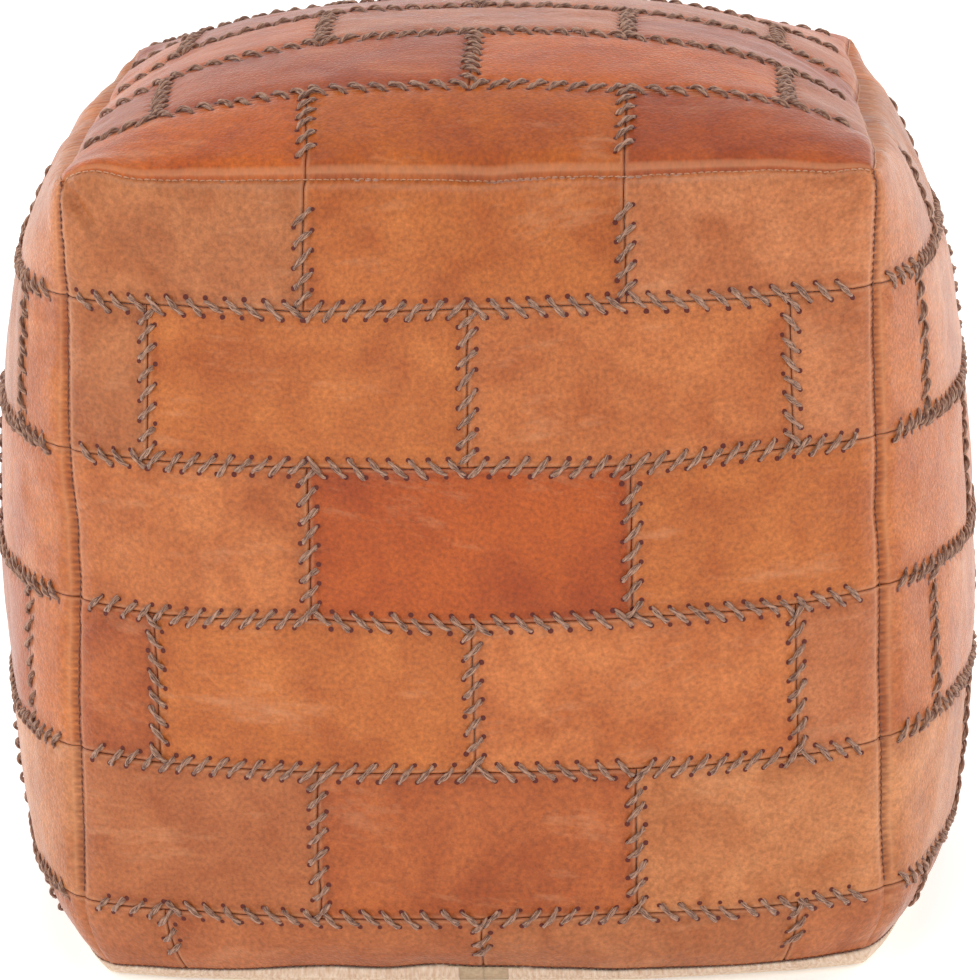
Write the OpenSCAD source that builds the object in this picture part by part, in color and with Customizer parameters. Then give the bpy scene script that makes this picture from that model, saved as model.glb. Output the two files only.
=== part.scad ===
// Square pouf in laced leather patchwork: five patchwork panels over a stuffed cotton bag,
// closed underneath by a two-piece canvas base with a zip on its centre line.
// The frame has +Z up, the front panel facing -Y, and its origin on the floor under the middle.

/* [Body] */
// Width and depth between opposite vertical seams
seam_width = 360; // [300:1:440]
// Height of a side panel, from the base seam to the top seam
panel_height = 358; // [280:1:440]
// Height of the base seam above the floor
base_seam_height = 12; // [12:1:18]
// How far the middle of a side panel stands out beyond its seams
side_bulge = 48; // [20:1:60]
// How far the middle of the top panel rises above its seams
top_crown = 40; // [20:1:60]
// How far the middle of a top seam hangs below the corners
seam_sag = 4; // [0:0.5:8]
// How far the lower corners are tucked in below the lowest level join
base_tuck = 14; // [6:1:18]
// How far the base seam drops at the corners
base_dip = 5; // [0:0.5:6]

/* [Leather patches] */
// Thickness of the leather
leather = 1.8; // [1.2:0.1:2.6]
// Width of the narrow patches next to the corner seams
edge_patch = 39; // [28:1:50]
// Height of the top strip of a side panel
top_strip = 52.6; // [40:0.2:66]
// Height of the bottom strip of a side panel
bottom_strip = 28.6; // [24:0.2:40]
// Depth of the front strip of the top panel
front_strip = 54; // [40:1:66]
// Depth of the back strip of the top panel
back_strip = 22; // [18:1:40]
// Gap between two patches that meet edge to edge
butt_gap = 0.4; // [0.3:0.05:1]

/* [Lacing] */
// Thickness of the lacing cord
cord = 2.2; // [1.6:0.1:2.6]
// Distance between neighbouring holes along a level join
hole_pitch = 8; // [6.5:0.1:12]
// Distance between neighbouring holes along an upright join
upright_pitch = 8.7; // [6.5:0.1:12]
// Distance of the holes from the edge of the leather
hole_inset = 4; // [3:0.1:5]
// Clearance between the cord and the leather it lies on
cord_gap = 0.15; // [0.1:0.05:0.3]
// Bare length of join next to a machine-sewn seam
bare_end = 9; // [7:0.5:20]

/* [Machine-sewn seams] */
// Thickness of the waxed seam thread
seam_thread = 1.2; // [0.8:0.1:1.6]

/* [Inner bag and filling] */
// Thickness of the cotton inner bag
liner = 0.8; // [0.5:0.1:1.2]
// Clearance between soft layers
layer_gap = 0.3; // [0.3:0.05:0.6]

/* [Canvas base and zip] */
// Thickness of one layer of canvas
canvas = 1; // [0.6:0.1:1.4]
// Width over which the base rolls up to its seam
base_roll = 14; // [10:1:24]
// Open width between the two folded canvas edges
zip_opening = 23; // [20:0.5:30]
// Width of the folded hem of each canvas half
hem_width = 12.5; // [9:0.5:16]
// Height of the folded edges above the floor
zip_lift = 6; // [6:0.5:8]
// Width of one zip tape
tape_width = 15.8; // [13:0.2:20]
// Thickness of the zip tape
tape = 0.6; // [0.4:0.1:0.8]
// Thickness of the coil of the zip
coil = 2.6; // [2:0.1:3]
// Distance from each end of the coil to the seam there
zip_margin = 27; // [24:1:60]
// Gap between the two coils, where the divider of the slider runs
coil_gap = 1; // [1:0.1:1.4]
// Length of the slider
slider_length = 12; // [9:0.5:14]
// Length of the pull
pull_length = 24; // [16:1:30]

/* [Hidden] */
$fn = 24;
PANELS = ["front", "right", "back", "left", "top"];
ROWS = [1, 2, 3, 4, 5, 6];

half = seam_width / 2;
patch_width = half - edge_patch;
row_pitch = (panel_height - top_strip - bottom_strip) / 4;
top_pitch = (seam_width - front_strip - back_strip) / 4;
top_seam = base_seam_height + panel_height;

// Fullness of the panels: a lower power fills a panel out further towards its seams.
across_fullness = 0.69;
upright_fullness = 0.42;
top_fullness = 0.58;
// Below one, this moves the fullest part of a side panel below its middle.
belly = 0.8;
// Share of its profile that a side panel has already filled where it meets the base.
base_start = 0.05;

// Depths below the outer skin.
liner_out = leather + layer_gap;
filling_out = liner_out + liner + 4 * layer_gap;
// Heights of the zip: the underside of its tapes, and of the inner plate of the slider.
tape_low = zip_lift + 2 * canvas + layer_gap;
slider_high = tape_low + tape + layer_gap;
inner_plate = 0.8;
coil_length = seam_width - 2 * zip_margin;
// Where the flat of the base ends, and where its lifted middle ends, as sizes from the
// middle.
roll_start = 1 - base_roll / half;
hem_end = zip_opening / 2 + hem_width;
ramp_end = hem_end + 22;

// ---- the stuffed form -------------------------------------------------------------

function swell(t, power) = pow(max(0, 1 - t * t), power);

// How full a side panel is at the height v.
function side_fill(v) =
    swell(2 * pow(base_start + (1 - base_start) * v, belly) - 1, upright_fullness);

// One at the base seam, falling to nothing at the lowest level join.
function low_share(v) = pow(max(0, 1 - v * panel_height / bottom_strip), 2);

// A point of the front panel: u runs from -1 to 1 across it, v from 0 to 1 up it,
// and depth is measured inwards from the outer skin.
function side_point(u, v, depth) =
    let (reach = half - depth - base_tuck * low_share(v))
    [u * reach,
     -reach - side_bulge * swell(u, across_fullness) * side_fill(v),
     base_seam_height + depth + (panel_height - 2 * depth) * v
         - seam_sag * (1 - u * u) * pow(v, 3) - base_dip * pow(u, 4) * low_share(v)];

// A point of the top panel: u runs across it, w from front to back.
function top_point(u, w, depth) =
    let (reach = half - depth)
    [u * reach, w * reach,
     top_seam - depth + top_crown * swell(u, top_fullness) * swell(w, top_fullness)
         - seam_sag * ((1 - u * u) * pow(w, 4) + (1 - w * w) * pow(u, 4))];

// Nothing on the flat of the base, rising to one at its seam.
function roll_share(u, w) =
    let (s = max(0, max(abs(u), abs(w)) - roll_start) / (1 - roll_start))
    1 - sqrt(max(0, 1 - s * s));

// A point of the base: it lies on the floor, rolls up to its seam all round, and is
// lifted by lift over the zip.
function base_point(u, w, depth, lift) =
    let (reach = half - base_tuck - depth,
         stand_out = side_bulge * side_fill(0),
         raised = lift * min(1, max(0, (ramp_end - abs(u) * half) / (ramp_end - hem_end))),
         seam = base_seam_height - base_dip * pow(u * w, 4))
    [u * (reach + stand_out * swell(w, across_fullness) * pow(abs(u), 3)),
     w * (reach + stand_out * swell(u, across_fullness) * pow(abs(w), 3)),
     depth + raised + (seam - raised) * roll_share(u, w)];

// ---- lines that the facets share --------------------------------------------------

patch_u = patch_width / half;
edge_cut = butt_gap / 2 / half;
upright_cut = butt_gap / 2 / panel_height;
side_rows = concat([1], [for (r = [4:-1:0]) (bottom_strip + r * row_pitch) / panel_height], [0]);
top_rows = concat([-1], [for (r = [0:4]) (front_strip + r * top_pitch) / half - 1], [1]);
edge_lines = [for (share = [0.5, 0.77]) patch_u + share * (1 - patch_u)];
skin_u = concat([-1], -reversed(edge_lines), [for (i = [-4:4]) i / 4 * patch_u], edge_lines, [1]);
function reversed(list) = [for (i = [len(list) - 1:-1:0]) list[i]];
function with_middles(list) =
    [for (i = [0:2 * len(list) - 2])
        i % 2 == 0 ? list[i / 2] : (list[(i - 1) / 2] + list[(i + 1) / 2]) / 2];
function between(list, low, high) =
    concat([low], [for (t = list) if (t > low + 0.004 && t < high - 0.004) t], [high]);
skin_v = concat([for (share = [0, 0.15, 0.5]) share * side_rows[5]],
                with_middles([for (r = [5:-1:1]) side_rows[r]]),
                [for (share = [0.3, 0.57, 0.78, 0.92, 1]) 1 - (1 - share) * (1 - side_rows[1])]);
skin_w = concat([for (share = [0, 0.05, 0.15, 0.25, 0.4, 0.6, 0.8]) -1 + share * (top_rows[1] + 1)],
                with_middles([for (r = [1:4]) top_rows[r]]),
                [for (share = [0.28, 0.54, 0.78]) top_rows[4] + share * (top_rows[5] - top_rows[4])],
                [for (share = [0, 0.3, 0.6, 0.85, 1]) top_rows[5] + share * (1 - top_rows[5])]);

// ---- sheets -----------------------------------------------------------------------

// A closed sheet between two skins, each a grid of points given row by row.
module sheet(outer, inner) {
    rows = len(outer);
    cols = len(outer[0]);
    count = rows * cols;
    points = concat([for (line = outer) for (p = line) p], [for (line = inner) for (p = line) p]);
    function at(i, j) = i * cols + j;
    skins = [for (i = [0:rows - 2]) for (j = [0:cols - 2]) each [
        [at(i, j), at(i + 1, j + 1), at(i, j + 1)],
        [at(i, j), at(i + 1, j), at(i + 1, j + 1)],
        [count + at(i, j), count + at(i, j + 1), count + at(i + 1, j + 1)],
        [count + at(i, j), count + at(i + 1, j + 1), count + at(i + 1, j)]]];
    ring = concat([for (j = [0:cols - 1]) at(0, j)],
                  [for (i = [1:rows - 1]) at(i, cols - 1)],
                  [for (j = [cols - 2:-1:0]) at(rows - 1, j)],
                  [for (i = [rows - 2:-1:1]) at(i, 0)]);
    walls = [for (k = [0:len(ring) - 1])
        let (a = ring[k], b = ring[(k + 1) % len(ring)]) each [[a, b, b + count], [a, b + count, a + count]]];
    polyhedron(points = points, faces = concat(skins, walls), convexity = 4);
}

// Which way each panel is turned, and whether it is the top.
function turn(panel) = search([panel], PANELS)[0] * 90;
function panel_point(panel, u, v, depth) =
    panel == "top" ? top_point(u, v, depth) : side_point(u, v, depth);

module place(panel) {
    rotate([0, 0, panel == "top" ? 0 : turn(panel)]) children();
}

module panel_sheet(panel, us, vs, outside, inside) {
    sheet([for (v = vs) [for (u = us) panel_point(panel, u, v, outside)]],
          [for (v = vs) [for (u = us) panel_point(panel, u, v, inside)]]);
}

// ---- leather patches --------------------------------------------------------------

// The upright joins of a row: two in the odd rows, three in the even ones.
function joins(row) = row % 2 == 1 ? [-patch_u / 2, patch_u / 2] : [-patch_u, 0, patch_u];
function row_span(panel, row) = panel == "top"
    ? [top_rows[row - 1] + edge_cut, top_rows[row] - edge_cut]
    : [side_rows[row] + upright_cut, side_rows[row - 1] - upright_cut];

module patch_row(panel, row) {
    lines = concat([-1], joins(row), [1]);
    span = row_span(panel, row);
    vs = between(panel == "top" ? skin_w : skin_v, span[0], span[1]);
    shade = (row * 7 + turn(panel) / 90 * 3) % 5 / 5;
    color([0.74 + 0.05 * shade, 0.44 + 0.06 * shade, 0.26 + 0.07 * shade])
    place(panel)
    for (i = [0:len(lines) - 2])
        panel_sheet(panel, between(skin_u, lines[i] + edge_cut, lines[i + 1] - edge_cut), vs, 0, leather);
}

// ---- lacing -----------------------------------------------------------------------

// Which way the stitches lean in each stretch between patch corners: 1 leans up to the
// right, -1 up to the left. One line for each level join, from the top down.
level_lean = [[-1, -1, 1, -1, -1, -1], [-1, 1, -1, 1, 1, 1], [1, 1, -1, -1, -1, -1],
              [1, 1, 1, -1, 1, -1], [1, -1, -1, 1, -1, -1]];
// The same for the upright joins of each row.
upright_lean = [[1, 1], [1, 1, -1], [1, 1], [-1, 1, 1], [1, 1], [1, 1, 1]];

cord_lift = cord / 2 + cord_gap;
stretch_ends = [-1, -patch_u, -patch_u / 2, 0, patch_u / 2, patch_u, 1];

module rod(from, to, thick) {
    way = to - from;
    long = norm(way);
    translate(from)
    rotate([0, acos(way[2] / long), atan2(way[1], way[0])])
        cylinder(h = long, d = thick);
}

// Length of skin per unit of u, and per unit of v.
function u_scale(panel, u, v) =
    norm(panel_point(panel, u + 0.01, v, 0) - panel_point(panel, u - 0.01, v, 0)) / 0.02;
function v_scale(panel, u, v) =
    norm(panel_point(panel, u, v + 0.005, 0) - panel_point(panel, u, v - 0.005, 0)) / 0.01;

// A stitch shows between its two holes, where its ends dive into the leather.
stitch_reach = hole_inset - 0.57 * cord;

module stitch(panel, u, v, lean) {
    du = lean * stitch_reach / u_scale(panel, u, v);
    dv = stitch_reach / v_scale(panel, u, v);
    rod(panel_point(panel, u - du, v - dv, -cord_lift),
        panel_point(panel, u + du, v + dv, -cord_lift), cord);
}

module level_join(panel, v, leans) {
    for (s = [0:5]) {
        low = s == 0 ? -1 + bare_end / half : stretch_ends[s];
        high = s == 5 ? 1 - bare_end / half : stretch_ends[s + 1];
        count = floor((high - low) * u_scale(panel, (low + high) / 2, v) / hole_pitch);
        for (k = [0:count - 1])
            stitch(panel, low + (k + 0.5) * (high - low) / count, v, leans[s]);
    }
}

module upright_join(panel, u, low, high, lean) {
    long = (high - low) * v_scale(panel, u, (low + high) / 2);
    trim = 2 * hole_inset + cord;
    count = floor((long - 2 * trim) / upright_pitch) + 1;
    for (k = [0:count - 1])
        stitch(panel, u, (low + high) / 2 + (k - (count - 1) / 2) * upright_pitch / long * (high - low),
               lean);
}

module lacing(panel) {
    turned = turn(panel) / 90;
    lines = panel == "top" ? top_rows : side_rows;
    color("#8a7868")
    place(panel) {
        for (k = [0:4]) level_join(panel, lines[k + 1], level_lean[(k + turned) % 5]);
        for (row = ROWS) {
            span = row_span(panel, row);
            us = joins(row);
            leans = upright_lean[row - 1];
            for (j = [0:len(us) - 1])
                upright_join(panel, us[j], span[0], span[1], leans[(j + turned) % len(us)]);
        }
    }
}

// ---- machine-sewn seams -----------------------------------------------------------

thread_out = (seam_thread / 2 + layer_gap) / sqrt(2);
thread_trim = 0.2;

// Rods end to end along a line, a hair apart.
module run(points, thick) {
    for (i = [0:len(points) - 2]) {
        trim = thread_trim * (points[i + 1] - points[i]) / norm(points[i + 1] - points[i]);
        rod(points[i] + trim, points[i + 1] - trim, thick);
    }
}

// The corner seams show above the lowest level join; below it the leather turns smoothly.
module corner_seam_thread() {
    low = base_seam_height + bottom_strip;
    color("#c9a98c")
    for (turned = [0:90:270]) rotate([0, 0, turned])
        translate([half + thread_out, -half - thread_out, low])
            cylinder(h = top_seam - 2 - low, d = seam_thread);
}

module top_seam_thread() {
    color("#c9a98c")
    for (turned = [0:90:270]) rotate([0, 0, turned])
        run([for (u = skin_u) side_point(u * (1 - 2 / half), 1, 0) + [0, -thread_out, thread_out]],
            seam_thread);
}

module base_seam_thread() {
    color("#c9a98c")
    for (turned = [0:90:270]) rotate([0, 0, turned])
        run([for (u = skin_u) side_point(u * (1 - 2 / half), 0, 0) + [0, -2 * thread_out, 0]],
            seam_thread);
}

// ---- canvas base ------------------------------------------------------------------

inner_lift = slider_high + inner_plate + layer_gap - liner_out;
roll_lines = [for (share = [1, 0.6, 0.3, 0.1]) 1 - share * base_roll / half];
base_w = concat([-1], -reversed(roll_lines), [-patch_u, -0.4, 0, 0.4, patch_u], roll_lines, [1]);

// One half of the base, x > 0, with its inner edge folded back into a hem.
module base_half() {
    us = concat([zip_opening / 2 / half, hem_end / half - 0.004, hem_end / half, ramp_end / half,
                 0.5, patch_u],
                [for (w = base_w) if (w >= roll_start && w < 1 - edge_cut) w], [1 - edge_cut]);
    ws = between(base_w, -1 + edge_cut, 1 - edge_cut);
    function layers(u) = u < hem_end / half - 0.002 ? 2 : 1;
    sheet([for (w = reversed(ws)) [for (u = us) base_point(u, w, 0, zip_lift)]],
          [for (w = reversed(ws)) [for (u = us) base_point(u, w, layers(u) * canvas, zip_lift)]]);
}

module base_right() { color("#cdb396") base_half(); }
module base_left() { color("#cdb396") mirror([1, 0, 0]) base_half(); }

// ---- zip --------------------------------------------------------------------------

tape_inner_edge = coil_gap / 2 + 0.7;
coil_height = tape_low - 0.2 - coil / 2;
coil_offset = (coil_gap + coil) / 2;
tape_share = 0.2;
stop_length = 2.7;
stop_gap = 0.3;

module tape_half() {
    us = [tape_inner_edge / half, (tape_inner_edge + tape_width) / half];
    tape_end = 1 - tape_share * base_roll / half;
    ws = between(base_w, -tape_end, tape_end);
    depth = 2 * canvas + layer_gap;
    sheet([for (w = reversed(ws)) [for (u = us) base_point(u, w, depth, zip_lift)]],
          [for (w = reversed(ws)) [for (u = us) base_point(u, w, depth + tape, zip_lift)]]);
}

module zip_tape_right() { color("#b89d80") tape_half(); }
module zip_tape_left() { color("#b89d80") mirror([1, 0, 0]) tape_half(); }

module coil_half() {
    translate([coil_offset, coil_length / 2, coil_height]) rotate([90, 0, 0])
        cylinder(h = coil_length, d = coil);
}

module zip_coil_right() { color("#a58a6c") coil_half(); }
module zip_coil_left() { color("#a58a6c") mirror([1, 0, 0]) coil_half(); }

module zip_top_stops() {
    color("#b08d57")
    for (side = [-1, 1])
        translate([side * coil_offset, coil_length / 2 + stop_gap + stop_length / 2, coil_height])
            cube([coil, stop_length, coil], center = true);
}

module zip_bottom_stop() {
    color("#b08d57")
    translate([0, -coil_length / 2 - stop_gap - stop_length / 2, coil_height])
        cube([2 * coil + coil_gap, stop_length, coil], center = true);
}

// The slider stands at the back, closed end of the zip.
slider_y = coil_length / 2 - slider_length / 2;
plate = 1;
slider_low = coil_height - coil / 2 - layer_gap - plate;
flange_in = coil_gap / 2 + coil + 0.5;
flange = 1.5;
slider_width = 2 * (flange_in + flange);
bridge_bar = 0.8;
bridge_reach = 3.2;
bridge_low = 1;
bridge_width = 1.4;
pull_bar = 1.2;
pull_height = (bridge_low + bridge_bar + slider_low) / 2;

module zip_slider() {
    color("#b08d57")
    translate([0, slider_y, 0]) {
        // outer plate with rounded ends, and its two flanges below the tapes
        translate([0, 0, slider_low]) linear_extrude(plate) slider_outline();
        for (side = [-1, 1])
            translate([side * (flange_in + flange / 2), 0, (slider_low + tape_low - layer_gap) / 2])
                cube([flange, slider_length - 4, tape_low - layer_gap - slider_low], center = true);
        // divider between the coils, which carries the inner plate
        translate([-coil_gap / 4, -slider_length / 6, slider_low])
            cube([coil_gap / 2, slider_length / 3, slider_high + inner_plate - slider_low]);
        translate([0, 0, slider_high]) linear_extrude(inner_plate) slider_outline();
        // bridge that holds the pull
        for (end = [-1, 1])
            translate([0, end * bridge_reach, (bridge_low + slider_low) / 2 + 0.25])
                cube([bridge_width, bridge_bar, slider_low - bridge_low + 0.5], center = true);
        translate([0, 0, bridge_low + bridge_bar / 2])
            cube([bridge_width, 2 * bridge_reach + bridge_bar, bridge_bar], center = true);
    }
}

module slider_outline() {
    intersection() {
        square([slider_width, slider_length], center = true);
        circle(d = norm([slider_width, slider_length - 4]), $fn = 48);
    }
}

// The pull lies flat under the base, pointing to the front, and swings on its crossbar.
module zip_pull() {
    inner = bridge_width / 2 + 0.8;
    arm = 1;
    thick = 0.8;
    plate_start = bridge_reach + 2;
    color("#b08d57")
    translate([0, slider_y, pull_height]) {
        rotate([0, 90, 0]) cylinder(h = 2 * inner + 2 * arm, d = pull_bar, center = true);
        for (side = [-1, 1])
            translate([side * (inner + arm / 2), -plate_start / 2 - 0.5, 0])
                cube([arm, plate_start + 1, thick], center = true);
        difference() {
            translate([0, -(plate_start + pull_length) / 2, 0])
                cube([2 * (inner + arm), pull_length - plate_start, thick], center = true);
            translate([0, -pull_length + 4, 0]) cylinder(h = 2 * thick, d = 2.4, center = true);
        }
    }
}

// ---- inner bag and filling --------------------------------------------------------

module bag_panel(panel) {
    color("#e8e0d0")
    place(panel)
    panel_sheet(panel, between(skin_u, -1 + edge_cut, 1 - edge_cut),
                panel == "top" ? between(skin_w, -1 + edge_cut, 1 - edge_cut)
                               : between(skin_v, upright_cut, 1 - upright_cut),
                liner_out, liner_out + liner);
}

base_u = concat([-1], -reversed(roll_lines),
                [-patch_u, -0.5, -ramp_end / half, -hem_end / half, hem_end / half, ramp_end / half,
                 0.5, patch_u],
                roll_lines, [1]);

module liner_base() {
    us = between(base_u, -1 + edge_cut, 1 - edge_cut);
    ws = between(base_w, -1 + edge_cut, 1 - edge_cut);
    color("#e8e0d0")
    sheet([for (w = reversed(ws)) [for (u = us) base_point(u, w, liner_out, inner_lift)]],
          [for (w = reversed(ws)) [for (u = us) base_point(u, w, liner_out + liner, inner_lift)]]);
}

// A point turned about the middle by a number of quarter turns.
function quarter(p, n) =
    n == 0 ? p : n == 1 ? [-p[1], p[0], p[2]] : n == 2 ? [-p[0], -p[1], p[2]] : [p[1], -p[0], p[2]];

// Four equal stretches of points that close into a ring, given those of the front one.
function ring_of(front) = [for (n = [0:3]) for (i = [0:len(front) - 2]) quarter(front[i], n)];

// A closed body from rings stacked upwards: a flat cap below, a tip above.
module stack(rings, tip) {
    around = len(rings[0]);
    last = (len(rings) - 1) * around;
    sides = [for (i = [0:len(rings) - 2]) for (j = [0:around - 1])
        let (low = i * around, next = (j + 1) % around) each [
            [low + j, low + around + next, low + next],
            [low + j, low + around + j, low + around + next]]];
    cap = [for (j = [0:around - 1]) j];
    crown = [for (j = [0:around - 1]) [last + j, last + around, last + (j + 1) % around]];
    polyhedron(points = [for (r = rings) each r, tip], faces = concat([cap], sides, crown), convexity = 2);
}

// The filling is one closed body with a flat underside that rests over the zip.
module filling() {
    rest = inner_lift + filling_out;
    sides = [for (v = skin_v) if (v > side_rows[5] / 3) ring_of([for (u = skin_u) side_point(u, v, filling_out)])];
    tops = [for (t = [0.97, 0.92, 0.85, 0.75, 0.6, 0.45, 0.3, 0.15])
        ring_of([for (u = skin_u) top_point(t * u, -t, filling_out)])];
    foot = [for (p = sides[0]) [p[0] * 0.85, p[1] * 0.85, rest]];
    color("#f2ede2")
    stack(concat([foot], sides, tops), top_point(0, 0, filling_out));
}

corner_seam_thread();
top_seam_thread();
base_seam_thread();
base_left();
base_right();
zip_tape_left();
zip_tape_right();
zip_coil_left();
zip_coil_right();
zip_top_stops();
zip_bottom_stop();
zip_slider();
zip_pull();
liner_base();
filling();
for (p = PANELS) {
    for (r = ROWS) patch_row(p, r);
    lacing(p);
    bag_panel(p);
}
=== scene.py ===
import math

import bpy
import numpy as np
from mathutils import Matrix


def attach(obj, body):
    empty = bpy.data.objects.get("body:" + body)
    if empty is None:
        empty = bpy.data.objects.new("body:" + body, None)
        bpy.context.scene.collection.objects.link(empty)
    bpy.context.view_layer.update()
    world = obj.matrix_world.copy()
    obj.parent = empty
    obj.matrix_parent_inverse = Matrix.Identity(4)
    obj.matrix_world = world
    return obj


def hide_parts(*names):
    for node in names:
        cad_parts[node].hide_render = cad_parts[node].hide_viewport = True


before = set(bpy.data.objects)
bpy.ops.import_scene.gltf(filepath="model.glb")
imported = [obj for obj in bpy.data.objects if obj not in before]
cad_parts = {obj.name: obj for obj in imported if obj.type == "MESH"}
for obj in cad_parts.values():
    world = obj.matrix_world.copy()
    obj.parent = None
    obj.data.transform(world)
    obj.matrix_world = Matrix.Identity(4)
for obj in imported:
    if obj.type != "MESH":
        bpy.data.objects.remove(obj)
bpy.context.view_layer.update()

# ---- room -----------------------------------------------------------------------------
# A white studio: a pale floor that runs out of sight, white walls all round, and three big
# soft lamps. The camera stands low in front of the pouf, with a long lens.


def linear(code):
    """The linear colour of an sRGB hex code."""
    parts = [int(code[k:k + 2], 16) / 255 for k in (1, 3, 5)]
    return tuple(p / 12.92 if p <= 0.04045 else ((p + 0.055) / 1.055) ** 2.4 for p in parts) + (1,)


def add(tree, kind, inputs=None, **settings):
    """Adds a node: its settings, and for each input a value or the socket that feeds it."""
    node = tree.nodes.new("ShaderNode" + kind)
    for name, value in settings.items():
        setattr(node, name, value)
    for name, value in (inputs or {}).items():
        if isinstance(value, bpy.types.NodeSocket):
            tree.links.new(value, node.inputs[name])
        else:
            node.inputs[name].default_value = value
    return node


def finish_of(name):
    """A new material and its empty node tree."""
    material = bpy.data.materials.new(name)
    material.use_nodes = True
    material.node_tree.nodes.clear()
    return material, material.node_tree


def surface(tree, inputs):
    """Closes a material with its one shader."""
    shader = add(tree, "BsdfPrincipled", inputs)
    add(tree, "OutputMaterial", {"Surface": shader.outputs["BSDF"]})


AIM = np.array((0.0, 0.0, 0.2))
DISTANCE = 2.4128
ELEVATION, YAW, ROLL = (math.radians(a) for a in (13.486, 2.278, -1.425))
FOCAL = 186.7
SHIFT = (0.0015, -0.0385)

back = np.array((math.sin(YAW) * math.cos(ELEVATION), -math.cos(YAW) * math.cos(ELEVATION),
                 math.sin(ELEVATION)))
level = np.cross(-back, (0, 0, 1))
level /= np.linalg.norm(level)
upright = np.cross(level, -back)
across = math.cos(ROLL) * level + math.sin(ROLL) * upright
upward = -math.sin(ROLL) * level + math.cos(ROLL) * upright

camera = bpy.data.objects.new("camera", bpy.data.cameras.new("camera"))
bpy.context.collection.objects.link(camera)
camera.data.lens = FOCAL
camera.data.sensor_width = 36
camera.data.shift_x, camera.data.shift_y = SHIFT
camera.data.clip_start, camera.data.clip_end = 0.05, 60
place = AIM + DISTANCE * back
camera.matrix_world = Matrix([[*map(float, row), float(p)] for row, p in
                              zip(np.stack([across, upward, back], 1), place)] + [[0, 0, 0, 1]])
bpy.context.scene.camera = camera
bpy.context.scene.view_settings.view_transform = "Standard"

world = bpy.data.worlds.new("white room")
bpy.context.scene.world = world
world.use_nodes = True
world.node_tree.nodes["Background"].inputs["Color"].default_value = (1, 1, 1, 1)
world.node_tree.nodes["Background"].inputs["Strength"].default_value = 1.09

floor_paint, tree = finish_of("matt white paint")
surface(tree, {"Base Color": linear("#f9f9f8"), "Roughness": 0.8,
              "Emission Color": (1, 1, 1, 1), "Emission Strength": 0.3})
mesh = bpy.data.meshes.new("floor")
mesh.from_pydata([(-8, -8, 0), (8, -8, 0), (8, 8, 0), (-8, 8, 0)], [], [(0, 1, 2, 3)])
mesh.materials.append(floor_paint)
floor = bpy.data.objects.new("floor", mesh)
bpy.context.collection.objects.link(floor)

# name, place, size and power in watts
LAMPS = [("lamp_front", (-0.8, -2.3, 1.2), 1.6, 7),
         ("lamp_right", (1.9, 0.9, 1.0), 1.2, 14),
         ("lamp_left", (-1.9, 1.0, 1.1), 1.2, 14)]
for name, spot, size, power in LAMPS:
    lamp = bpy.data.objects.new(name, bpy.data.lights.new(name, "AREA"))
    bpy.context.collection.objects.link(lamp)
    lamp.data.size = size
    lamp.data.energy = power
    away = np.array(spot) - AIM
    away /= np.linalg.norm(away)
    side = np.cross((0, 1, 0), away)
    side /= np.linalg.norm(side)
    lamp.matrix_world = Matrix([[*map(float, row), float(p)] for row, p in
                                zip(np.stack([side, np.cross(away, side), away], 1), spot)]
                               + [[0, 0, 0, 1]])

# ---- leather cover --------------------------------------------------------------------
# Thirty rows of vegetable-tanned cowhide patches, 1.8 mm thick, cut by hand, laid edge to
# edge and laced together; every panel is six rows high. The cover is tight over its filling,
# so each patch is a little crowned, dips to its joins, and is pinched in at the sewn seams.
HALF, PANEL, BASE_SEAM, BULGE, CROWN = 180.0, 358.0, 12.0, 48.0, 40.0
SAG, TUCK, DIP, STRIP = 4.0, 9.0, 4.0, 28.6
ACROSS, UPRIGHT, TOP, BELLY, START = 0.69, 0.42, 0.58, 0.8, 0.05
LEATHER, CUT = 1.8, 0.15
PATCH = 141 / HALF
PANELS = ["front", "right", "back", "left", "top"]
MARKS_U = np.array([-1, -PATCH, -PATCH / 2, 0, PATCH / 2, PATCH, 1])
MARKS_V = np.array([0, STRIP, *(STRIP + np.arange(1, 5) * 69.2), PANEL]) / PANEL
MARKS_W = np.array([0, *(54 + np.arange(5) * 71), 360]) / HALF - 1
HOLE, PITCH, PITCH_UP, BARE, BARE_LOW = 4.0, 8.0, 8.7, 9.0, 5.5


def swell(t, power):
    return np.maximum(0, 1 - t * t) ** power


def side_fill(v):
    return swell(2 * (START + (1 - START) * v) ** BELLY - 1, UPRIGHT)


def side_point(u, v, depth):
    """A point of the front panel in mm: u across it, v up it, depth inwards from the skin."""
    low = np.maximum(0, 1 - v * PANEL / STRIP) ** 2
    reach = HALF - depth - TUCK * low
    out = BULGE * swell(u, ACROSS) * side_fill(v)
    height = (BASE_SEAM + depth + (PANEL - 2 * depth) * v - SAG * (1 - u * u) * v ** 3
              - DIP * u ** 4 * low)
    return np.stack(np.broadcast_arrays(u * reach, -reach - out, height), -1)


def top_point(u, w, depth):
    reach = HALF - depth
    height = (BASE_SEAM + PANEL - depth + CROWN * swell(u, TOP) * swell(w, TOP)
              - SAG * ((1 - u * u) * w ** 4 + (1 - w * w) * u ** 4))
    return np.stack(np.broadcast_arrays(u * reach, w * reach, height), -1)


def turned(points, quarters):
    c, s = [(1, 0), (0, 1), (-1, 0), (0, -1)][quarters]
    x, y, z = np.moveaxis(points, -1, 0)
    return np.stack([c * x - s * y, s * x + c * y, z], -1)


def panel_point(panel, u, v, depth=0.0):
    if panel == "top":
        return top_point(u, v, depth)
    return turned(side_point(u, v, depth), PANELS.index(panel))


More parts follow.
